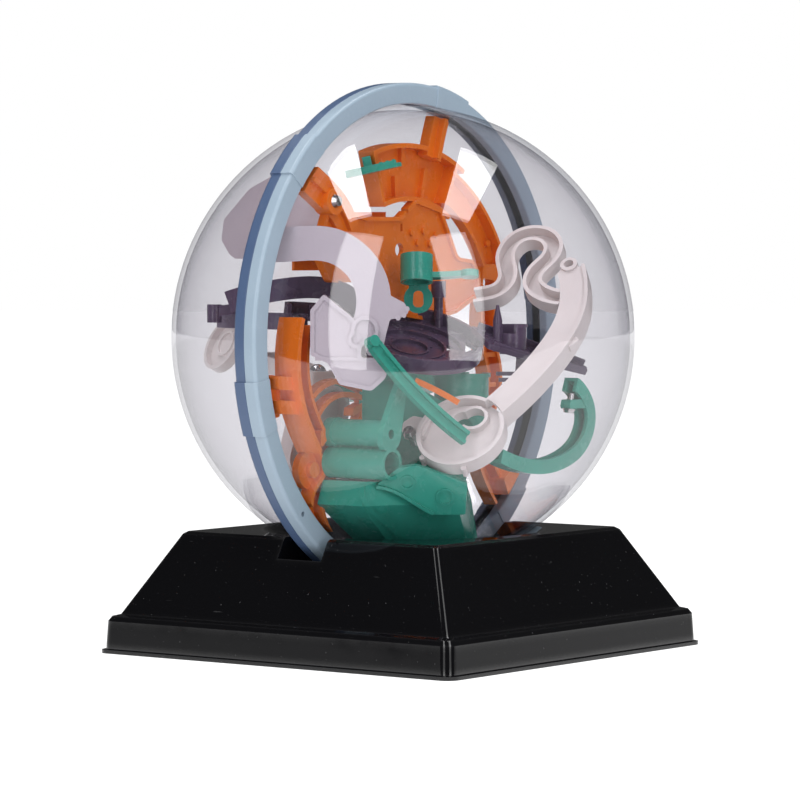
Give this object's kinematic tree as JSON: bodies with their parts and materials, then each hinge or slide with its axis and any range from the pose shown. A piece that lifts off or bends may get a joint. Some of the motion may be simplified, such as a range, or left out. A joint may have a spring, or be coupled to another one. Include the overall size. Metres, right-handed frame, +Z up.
{
  "type": "tilt maze ball",
  "caption": "Tilt maze game: a clear ball with a two-part ribbed rim, full of moulded tracks for a steel ball, resting in the cradle of a low square stand.",
  "frame": {"origin": "centre of the stand's underside", "axes": "+Z up out of the cradle, +X along the rim's axis towards its light half, so that the rim lies in the YZ plane"},
  "size_m": [0.181, 0.1984, 0.2212],
  "materials": {
    "stand_black": "glossy",
    "clear_shell": "polished",
    "rim_light_blue": "satin",
    "rim_dark_blue": "satin",
    "track_white": "satin",
    "track_orange": "glossy",
    "track_purple": "glossy",
    "track_green": "glossy",
    "ball_steel": "polished",
    "screw_steel": "brushed"
  },
  "bodies": {
    "stand": {"stand": "stand_black"},
    "maze_ball": {"dome_front": "clear_shell", "dome_rear": "clear_shell", "rim_front": "rim_light_blue", "rim_rear": "rim_dark_blue", "track_screws": "screw_steel", "white_ball_run": "track_white", "orange_backbone": "track_orange", "orange_arc_track": "track_orange", "orange_left_channel": "track_orange", "orange_right_rail": "track_orange", "orange_fan": "track_orange", "orange_strut": "track_orange", "purple_bowl": "track_purple", "purple_right_arm": "track_purple", "purple_left_band": "track_purple", "purple_lower_band": "track_purple", "white_dish": "track_white", "white_long_arm": "track_white", "white_s_track": "track_white", "white_bracket": "track_white", "white_hopper": "track_white", "green_tunnels": "track_green", "green_tower": "track_green", "green_silo": "track_green", "green_left_channel": "track_green", "green_right_channel": "track_green", "green_cup": "track_green", "green_shelf": "track_green", "green_flange": "track_green", "green_base": "track_green", "white_scoop": "track_white", "white_rear_panel": "track_white", "white_rear_cup": "track_white", "orange_rear_stair": "track_orange", "purple_rear_arc": "track_purple", "green_rear_ramp": "track_green", "white_rear_loop": "track_white"},
    "steel_ball": {"steel_ball": "ball_steel"}
  },
  "joints": [
    {"name": "ball_lift", "type": "slide", "parent": "stand", "child": "maze_ball", "axis": [0, 0, 1], "range_m": [0, 0.12]},
    {"name": "ball_roll", "type": "slide", "parent": "maze_ball", "child": "steel_ball", "axis": [-0.9245, 0.3549, 0.1392], "range_m": [0, 0.032]}
  ]
}
